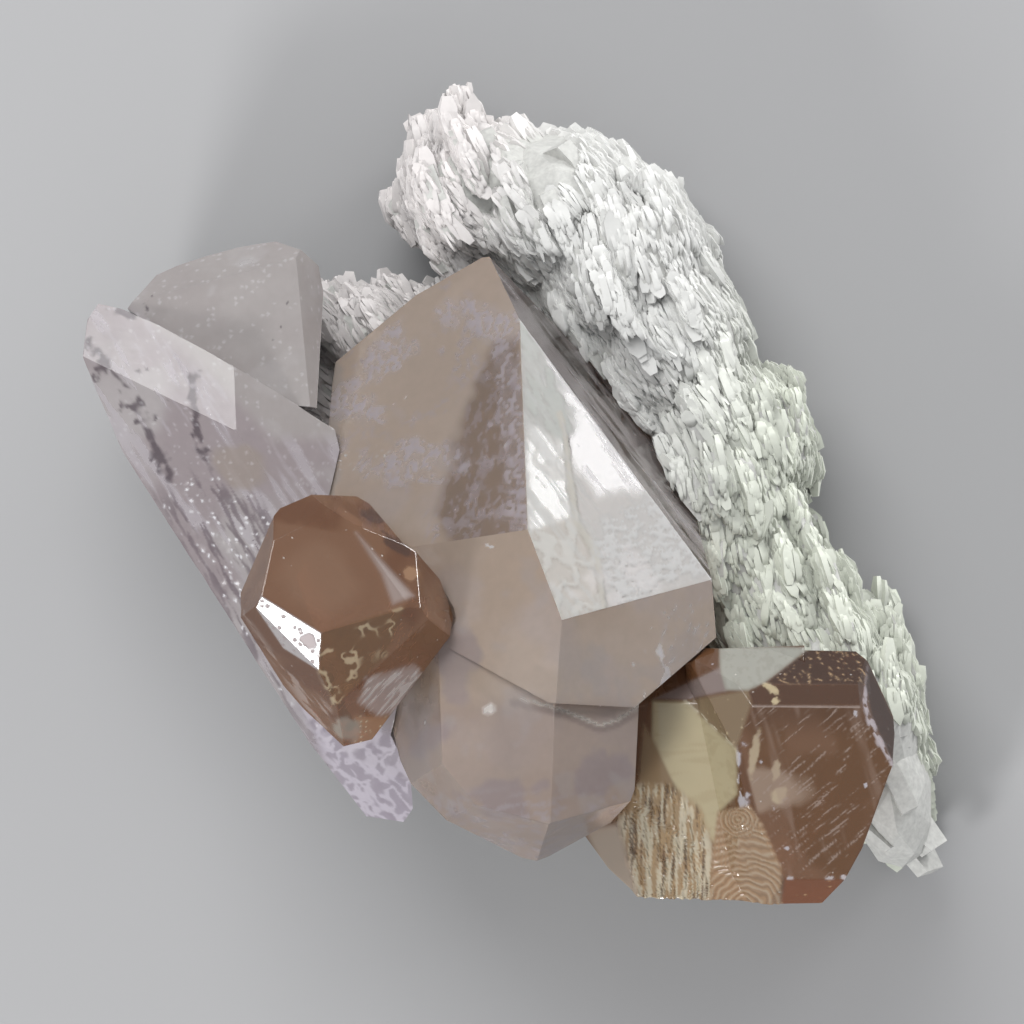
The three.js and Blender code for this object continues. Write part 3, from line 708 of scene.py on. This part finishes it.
def paint_shield(coat):
    place = coat.place
    shield = region(place, SHIELD, 0.2)
    coat.lay(shield, (0.25, 0.115, 0.045), 0.12)
    coat.lay(shield * rise(cloud(place, 5.0, 175, 3), 0.42, 0.62) * 0.6, (0.36, 0.19, 0.11))
    coat.lay(shield * rise(place[:, 1], -24.5, -21.0) * 0.7, (0.17, 0.075, 0.032))
    coat.lay(shield * oval(place, (24.8, -28.6), (2.4, 4.6), 85, 0.5, 177) * 0.75, (0.66, 0.49, 0.37), 0.14)
    for middle, half, degrees in (
        ((24.0, -25.6), (2.3, 0.5), 80),
        ((26.2, -26.9), (1.2, 0.45), 85),
        ((26.6, -29.5), (1.1, 0.8), 40),
    ):
        coat.lay(shield * oval(place, middle, half, degrees, 0.5, 179) * 0.8, (0.93, 0.76, 0.52), 0.18)
    coat.lay(shield * streaks(place, -74, 9.0, 1.1, 181, 0.55) * 0.35, (0.60, 0.42, 0.33))
    coat.lay(shield * streaks(place, 40, 3.0, 0.16, 183, 0.63) * 0.6, (0.70, 0.55, 0.47), 0.25)
    chips = band(place, [(22.4, -25.0), (22.3, -28.5), (22.9, -30.6)], 1.0, 1.5, 185)
    coat.lay(chips * rise(cloud(place, 0.8, 187, 2), 0.42, 0.54), (0.88, 0.83, 0.88), 0.5)
    for middle in ((31.6, -37.9), (32.9, -37.8), (27.6, -38.0)):
        coat.lay(oval(place, middle, (0.45, 0.3), 0, 0.8, 189), (0.90, 0.84, 0.86), 0.5)
    edge = band(place, FROSTED_EDGE, 0.85, 1.2, 191) * rise(cloud(place, 0.7, 193, 2), 0.28, 0.45)
    coat.lay(edge, (0.86, 0.76, 0.80), 0.55)
    coat.lift(edge, 0.05)
    coat.lay(band(place, [(23.9, -20.7), (34.5, -20.8)], 0.3, 0.3) * 0.6, (0.72, 0.60, 0.54), 0.3)


def paint_crown(coat):
    place = coat.place
    top = region(place, [(29.6, -15.0), (34.1, -15.0), (35.4, -16.3), (35.0, -18.6), (25.1, -18.5)], 0.2)
    coat.lay(top, (0.09, 0.032, 0.010), 0.05)
    second = region(place, [(25.1, -18.5), (35.0, -18.6), (34.6, -20.6), (23.9, -20.6), (23.4, -19.3)], 0.2)
    coat.lay(second, (0.16, 0.075, 0.04), 0.06)
    # painted shade: the right side facet is painted near-black, darker than its own brown, for the dark it
    # reflects
    side = region(place, [(35.4, -16.3), (38.4, -23.0), (37.9, -26.5), (35.8, -21.8), (35.1, -18.6)], 0.2)
    coat.lay(side, (0.07, 0.022, 0.006), 0.05)
    for middle, half, degrees in (((25.6, -18.9), (0.9, 0.35), -30), ((26.1, -20.2), (0.4, 0.4), 0)):
        coat.lay(oval(place, middle, half, degrees, 0.8, 195), (0.98, 0.80, 0.50), 0.2)
    coat.lay(top * streaks(place, -50, 1.5, 0.2, 197, 0.60) * 0.8, (0.75, 0.50, 0.28), 0.15)
    corner = region(place, [(17.1, -20.2), (23.4, -19.1), (23.7, -20.5), (22.2, -25.0)], 0.25)
    coat.lay(corner, (0.42, 0.30, 0.18), 0.12)
    coat.lay(corner * specks(place, 0.7, 0.35, 199, 0.25), (0.82, 0.66, 0.42), 0.25)
    seam = band(place, [(17.1, -20.2), (19.3, -22.2), (22.2, -25.0)], 0.5, 1.0, 201)
    coat.lay(seam * rise(cloud(place, 0.6, 203, 2), 0.4, 0.5), (0.92, 0.82, 0.62), 0.35)
    foot = region(place, [(27.1, -38.0), (32.9, -38.0), (32.2, -40.6), (26.6, -40.6)], 0.15)
    coat.lay(foot, (0.42, 0.13, 0.035), 0.08)
    coat.lay(foot * specks(place, 0.8, 0.3, 205, 0.3), (0.90, 0.55, 0.28), 0.2)


def paint_window(coat):
    place = coat.place
    corners = [(20.6, -14.7), (29.6, -14.9), (25.1, -18.3), (23.4, -19.1), (21.0, -19.1), (20.6, -17.5)]
    clear = region(place, corners, 0.25)
    coat.lay(clear, (0.72, 0.72, 0.63), 0.08)
    coat.lay(clear * streaks(place, 88, 2.5, 0.35, 207, 0.52) * 0.5, (0.60, 0.58, 0.50), 0.12)
    strip = region(place, [(14.0, -20.0), (20.5, -16.9), (21.2, -19.2), (17.2, -20.1)], 0.25)
    coat.lay(strip, (0.46, 0.36, 0.33), 0.2)
    top_corners = [(13.9, -20.2), (17.2, -20.3), (22.2, -25.0), (22.3, -29.5), (20.6, -31.2)]
    low_corners = [(20.2, -34.5), (18.6, -33.2), (15.9, -28.5), (13.8, -24.4)]
    window = region(place, top_corners + low_corners, 0.3)
    coat.lay(window, (0.90, 0.78, 0.50), 0.07)
    coat.lay(window * streaks(place, 3, 6.0, 0.5, 209, 0.52) * 0.4, (0.72, 0.60, 0.36), 0.12)
    wedge = region(place, [(13.0, -22.5), (14.1, -24.4), (15.9, -28.5), (14.3, -29.2), (12.5, -28.5)], 0.3)
    coat.lay(wedge, (0.50, 0.35, 0.20), 0.12)


def paint_break(coat):
    """The streaked corner with its painted glints, and the shell-like break beside it with painted light and
    shade on its ripples.
    """
    place = coat.place
    right_side = [(12.3, -28.5), (15.9, -28.5), (18.4, -30.8), (19.8, -34.3), (19.7, -41)]
    zone = region(place, right_side + [(12.6, -41), (10.5, -32.5)], 0.5, 0.5)
    coat.lay(zone, (0.66, 0.47, 0.27), 0.15)
    # painted glints: bright golden streaks stand in for light glittering in this corner
    coat.lay(zone * streaks(place, 90, 2.4, 0.30, 211, 0.44), (1.0, 0.90, 0.68), 0.25)
    coat.lay(zone * streaks(place, 88, 3.0, 0.25, 213, 0.58) * 0.8, (0.16, 0.09, 0.05), 0.15)
    coat.lift(zone * streaks(place, 90, 2.4, 0.35, 215, 0.5), 0.18)
    pale = region(place, [(7.0, -33.0), (10.5, -32.5), (12.8, -41), (9.5, -38)], 0.5)
    coat.lay(pale, (0.74, 0.62, 0.50), 0.2)
    top_corners = [(20.4, -31.3), (23.5, -30.6), (24.8, -32.5), (26.7, -36.9)]
    shell = region(place, top_corners + [(26.7, -40.8), (19.6, -40.8), (20.0, -34.8)], 0.25)
    ridges = shell_ridges(place)
    coat.lay(shell, (0.66, 0.43, 0.25), 0.08)
    # painted highlight on the crests of the ripples and painted shade in their troughs, over the real relief
    # lifted below
    coat.lay(shell * rise(ridges, 0.62, 1.0) * 0.7, (0.86, 0.70, 0.50), 0.12)
    coat.lay(shell * (1 - rise(ridges, 0.0, 0.25)) * 0.5, (0.34, 0.20, 0.11), 0.1)
    coat.lift(shell * ridges, 0.10)


# Albite


def triangles_of(thing):
    mesh = thing.data
    mesh.calc_loop_triangles()
    corners = np.array([v.co for v in mesh.vertices])
    faces = np.array([t.vertices for t in mesh.loop_triangles])
    return corners, faces


def unit(vectors):
    return vectors / np.maximum(np.linalg.norm(vectors, axis=1, keepdims=True), 1e-12)


def grain_direction(place, drift):
    """The way the blades run, leaning left of upwards in plan."""
    x, y = place[:, 0], place[:, 1]
    steep = np.clip((x + 12) / 30, 0, 1)
    degrees = 122 - 14 * steep + 9 * np.sin(0.21 * x - 0.16 * y) - 6 * np.cos(0.13 * y + 1)
    turn = np.radians(degrees + drift)
    return np.stack([np.cos(turn), np.sin(turn), np.zeros_like(turn)], axis=1)


WHITE = np.array([0.80, 0.80, 0.775])
PINKISH = np.array([0.01, -0.03, -0.02])
GREENISH = np.array([-0.06, -0.03, -0.105])


def albite_tint(place):
    """White, pinkish on the upper left lobe and greenish to the right."""
    pink = rise(-place[:, 0] + 0.4 * place[:, 1], 6, 20)[:, None]
    green = rise(place[:, 0] - 0.35 * place[:, 1], 8, 26)[:, None]
    mottle = cloud(place, 4.0, 221, 3)[:, None] - 0.5
    return (WHITE + pink * PINKISH + green * GREENISH) * (1 + 0.22 * mottle)


def scattered_on(source, count, rng):
    """Points spread evenly over a solid, with the way each looks out."""
    corners, faces = triangles_of(source)
    a, b, c = (corners[faces[:, i]] for i in range(3))
    cross = np.cross(b - a, c - a)
    area = np.linalg.norm(cross, axis=1)
    chosen = rng.choice(len(faces), count, p=area / area.sum())
    u, v = rng.random(count), rng.random(count)
    folded = u + v > 1
    u[folded], v[folded] = 1 - u[folded], 1 - v[folded]
    points = a[chosen] + u[:, None] * (b - a)[chosen] + v[:, None] * (c - a)[chosen]
    return points / MM - SHIFT, unit(cross)[chosen]


BLADE_RINGS = ((-0.5, 0.05), (-0.28, 0.85), (0.22, 1.0), (0.46, 0.55))


def blade_corners(middle, run, out, size):
    """The corners of closed blades: four square rings along each, narrow at both ends."""
    long, thick, tall = size
    side = unit(np.cross(run, out))
    up = np.cross(side, run)
    rings = []
    for share, fullness in BLADE_RINGS:
        centre = middle + (share * long)[:, None] * run
        half_side = (0.5 * thick * fullness)[:, None] * side
        half_up = (0.5 * tall * fullness)[:, None] * up
        rings += [centre - half_side - half_up, centre + half_side - half_up]
        rings += [centre + half_side + half_up, centre - half_side + half_up]
    return np.stack(rings, axis=1)


def blade_faces(count):
    quads = [(0, 1, 2, 3)]
    for ring in range(len(BLADE_RINGS) - 1):
        base = 4 * ring
        quads += [(base + i, base + 4 + i, base + 4 + (i + 1) % 4, base + (i + 1) % 4) for i in range(4)]
    last = 4 * (len(BLADE_RINGS) - 1)
    quads.append((last + 3, last + 2, last + 1, last))
    shape = np.array(quads)
    start = 4 * len(BLADE_RINGS) * np.arange(count)
    return (shape[None, :, :] + start[:, None, None]).reshape(-1, 4)


def crystal_trees():
    trees = []
    for name in ("quartz_main", "quartz_left", "topaz_left", "topaz_right"):
        corners, faces = triangles_of(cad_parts[name])
        trees.append(BVHTree.FromPolygons(corners.tolist(), faces.tolist()))
    return trees


def clear_of(trees, margin, corners):
    """Whether all corners of a blade stay outside the crystals by a margin."""
    for tree in trees:
        for corner in corners:
            point = Vector(corner)
            near, normal, _, away = tree.find_nearest(point)
            if away < margin or (point - near).dot(normal) < 0:
                return False
    return True


def add_blades(name, source, trees, material, count, seed, long, thick, tall, lean):
    rng = np.random.default_rng(seed)
    middle, out = scattered_on(source, count, rng)
    keep = (out[:, 2] > -0.5) & (middle[:, 2] > 1.0)
    middle, out = middle[keep], out[keep]
    count = len(middle)
    drift = 50 * (cloud(middle, 6.0, seed + 7, 2) - 0.5) + rng.normal(0, 6, count)
    run = grain_direction(middle, drift)
    against = np.einsum("ij,ij->i", run, out)
    run[against < 0] *= -1
    tilt = rng.uniform(*lean, count) - 0.6 * np.abs(against)
    run = unit(run + out * tilt[:, None])
    size = [rng.uniform(*long, count), rng.uniform(*thick, count), rng.uniform(*tall, count)]
    middle = middle - out * (0.30 * size[2])[:, None]
    corners = blade_corners(middle, run, out, size)
    inside = (corners + SHIFT) * MM
    above = inside[:, :, 2].min(axis=1) > 0.05 * MM
    keep = above & np.array([clear_of(trees, 0.25 * MM, c[8::2]) for c in inside])
    inside = inside[keep]
    count = len(inside)
    mesh = bpy.data.meshes.new(name)
    mesh.from_pydata(inside.reshape(-1, 3).tolist(), [], blade_faces(count).tolist())
    tint = albite_tint(middle[keep]) * rng.uniform(0.90, 1.08, count)[:, None]
    # painted shade: each blade is darker towards its lower, buried end and lighter towards its tip
    depth = np.repeat([0.78, 0.90, 1.0, 1.04], 4)
    colour = np.clip(tint[:, None, :] * depth[None, :, None], 0, 0.93)
    rgba = np.concatenate([colour, np.ones((count, len(depth), 1))], axis=2)
    mesh.attributes.new("coat_colour", "FLOAT_COLOR", "POINT").data.foreach_set("color", rgba.ravel())
    rough = np.repeat(np.where(rng.random(count) < 0.06, 0.12, rng.uniform(0.35, 0.6, count)), len(depth))
    mesh.attributes.new("coat_roughness", "FLOAT", "POINT").data.foreach_set("value", rough)
    mesh.shade_smooth()
    mesh.set_sharp_from_angle(angle=math.radians(75))
    print(name, "triangles:", 2 * len(mesh.polygons), flush=True)
    return add_piece(name, mesh, material)


def paint_albite_core(source):
    """The body of the matrix under its blades keeps its own mesh and takes a mottled white."""
    source.data.materials.clear()
    source.data.materials.append(plain_material("albite_core", (0.62, 0.62, 0.59), 0.6))


def add_albite():
    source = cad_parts["albite_matrix"]
    material, _ = painted_material("albite", 1500.0, 0.16, 0.0)
    trees = crystal_trees()
    paint_albite_core(source)
    add_blades(
        "albite_coarse_blades", source, trees, material,
        3000, 3, (3.0, 5.5), (0.45, 0.9), (1.1, 1.9), (0.0, 0.16),
    )
    for batch in range(3):
        add_blades(
            "albite_fine_blades_%d" % (batch + 1), source, trees, material,
            8500, 11 + batch, (1.6, 3.2), (0.26, 0.5), (0.8, 1.4), (0.0, 0.26),
        )


# Things inside the topaz


def plain_material(name, colour, rough):
    material = bpy.data.materials.new(name)
    material.use_nodes = True
    tree = material.node_tree
    shader = tree.nodes["Principled BSDF"]
    grain = node(tree, "ShaderNodeGroup", node_tree=GRAIN)
    grain.inputs["Scale"].default_value = 1800.0
    grain.inputs["Contrast"].default_value = 0.5
    lit = node(tree, "ShaderNodeVectorMath", operation="SCALE")
    lit.inputs[0].default_value = colour
    link(tree, grain.outputs["Light"], lit.inputs["Scale"])
    link(tree, lit.outputs[0], shader.inputs["Base Color"])
    shader.inputs["Roughness"].default_value = rough
    return material


def add_flakes(name, material, middles, turns, longs, wides, tilts, seed, thick=0.05, corners=7):
    """Thin many-sided plates, closed, each with its own place, turn and tilt."""
    rng = np.random.default_rng(seed)
    made = bmesh.new()
    for middle, turn, long, wide, tilt in zip(middles, turns, longs, wides, tilts):
        angles = np.linspace(0, 2 * math.pi, corners, endpoint=False) + rng.uniform(-0.2, 0.2, corners)
        reach = rng.uniform(0.7, 1.0, corners)
        flat = np.stack([0.5 * long * reach * np.cos(angles), 0.5 * wide * reach * np.sin(angles)], axis=1)
        along = Vector((math.cos(turn), math.sin(turn), 0))
        across = Vector((-math.sin(turn), math.cos(turn), 0)) * math.cos(tilt) + Vector(UP) * math.sin(tilt)
        normal = along.cross(across)
        centre = Vector(np.array(middle) + SHIFT)
        top = [made.verts.new((centre + along * a + across * b + normal * thick / 2) * MM) for a, b in flat]
        low = [made.verts.new((centre + along * a + across * b - normal * thick / 2) * MM) for a, b in flat]
        made.faces.new(top)
        made.faces.new(low[::-1])
        for i in range(corners):
            k = (i + 1) % corners
            made.faces.new((top[k], top[i], low[i], low[k]))
    bmesh.ops.triangulate(made, faces=made.faces[:])
    mesh = bpy.data.meshes.new(name)
    made.to_mesh(mesh)
    made.free()
    return add_piece(name, mesh, material)


def add_right_inclusions():
    gold = plain_material("golden_flash", (0.95, 0.80, 0.52), 0.25)
    black = plain_material("black_inclusion", (0.018, 0.012, 0.012), 0.3)
    rng = np.random.default_rng(5)
    count = 150
    x = rng.uniform(12.0, 19.4, count)
    y = rng.uniform(-39.2, -29.0, count)
    keep = (y < -28.5 - 0.9 * np.clip(x - 15.5, 0, 9)) & (x > 10.5 + 0.28 * np.clip(-32.5 - y, 0, 9))
    x, y = x[keep], y[keep]
    count = len(x)
    z = 31.1 + 0.19 * (x - 15.1) + 0.07 * (y + 31.2) - rng.uniform(0.6, 2.6, count)
    # painted glints: bright golden flakes inside the topaz stand in for light glinting in it
    add_flakes(
        "golden_flashes", gold, np.stack([x, y, z], axis=1),
        np.radians(rng.normal(90, 9, count)),
        rng.uniform(0.5, 1.7, count), rng.uniform(0.12, 0.4, count), rng.uniform(-0.7, 0.7, count), 6,
    )
    spots = (
        (15.9, -34.3, 0.5, 1.3), (17.6, -35.3, 1.2, 3.2), (15.4, -36.6, 0.5, 1.2),
        (16.6, -37.3, 0.6, 0.9), (18.1, -37.9, 0.9, 2.2),
    )
    middles = [(spot[0], spot[1], 30.3) for spot in spots]
    add_flakes(
        "black_inclusions", black, middles, [math.radians(92)] * len(spots),
        [spot[3] for spot in spots], [spot[2] for spot in spots], [0.15] * len(spots), 8, 0.3, 6,
    )


def add_left_inclusions():
    flash = plain_material("pale_fracture", (0.92, 0.80, 0.70), 0.2)
    black = plain_material("dark_hollow", (0.014, 0.010, 0.010), 0.25)
    rng = np.random.default_rng(9)
    count = 46
    share = rng.uniform(0, 1, count)
    x = -17.5 + 6.5 * share + rng.normal(0, 1.0, count)
    y = -19.5 + 6.5 * share + rng.normal(0, 1.2, count)
    z = rng.uniform(38.5, 41.5, count)
    # Pale flakes for real fractures inside the topaz; their brightness is a painted flash of light off them
    add_flakes(
        "fracture_flashes", flash, np.stack([x, y, z], axis=1),
        np.radians(rng.normal(48, 22, count)),
        rng.uniform(0.4, 1.5, count), rng.uniform(0.08, 0.3, count), rng.uniform(-0.8, 0.8, count), 10,
    )
    spots = (
        (-11.0, -11.4, 41.0, 1.7, 0.8, 20), (-10.7, -15.0, 40.0, 2.2, 0.5, 95),
        (-16.9, -21.9, 37.0, 1.8, 1.4, 70), (-15.1, -18.9, 38.5, 1.3, 0.5, 50),
    )
    add_flakes(
        "dark_hollows", black, [spot[:3] for spot in spots],
        [math.radians(spot[5]) for spot in spots], [spot[3] for spot in spots], [spot[4] for spot in spots],
        [0.2] * len(spots), 12, 0.2, 6,
    )


# The whole specimen

GRAIN = make_grain_group()
add_camera()
add_room()
add_floor()
add_lights()

add_crystal(
    "smoky_quartz_crystal", "quartz_main", paint_smoky_quartz,
    glass_material("smoky_quartz", 0.60, 1.54, (0.82, 0.75, 0.70), 20.0), 0.16, 0.45,
)
add_crystal(
    "milky_quartz_group", "quartz_left", paint_milky_quartz,
    glass_material("milky_quartz", 0.35, 1.54, (0.82, 0.77, 0.80), 18.0), 0.0, 0.32,
)
add_crystal(
    "brown_topaz_crystal", "topaz_left", paint_left_topaz,
    glass_material("brown_topaz", 0.58, 1.62, (0.60, 0.36, 0.20), 140.0, 600.0, 0.06, 0.0), 0.10, 0.2,
)
add_crystal(
    "pale_topaz_crystal", "topaz_right", paint_right_topaz,
    glass_material("pale_topaz", 0.58, 1.62, (0.66, 0.42, 0.24), 120.0, 600.0, 0.06, 0.0), 0.10, 0.27,
)
add_left_inclusions()
add_right_inclusions()
add_albite()

bpy.context.scene.view_settings.view_transform = "Standard"
bpy.context.scene.cycles.max_bounces = 5
bpy.context.scene.cycles.diffuse_bounces = 1
bpy.context.scene.cycles.glossy_bounces = 2
bpy.context.scene.cycles.transmission_bounces = 4
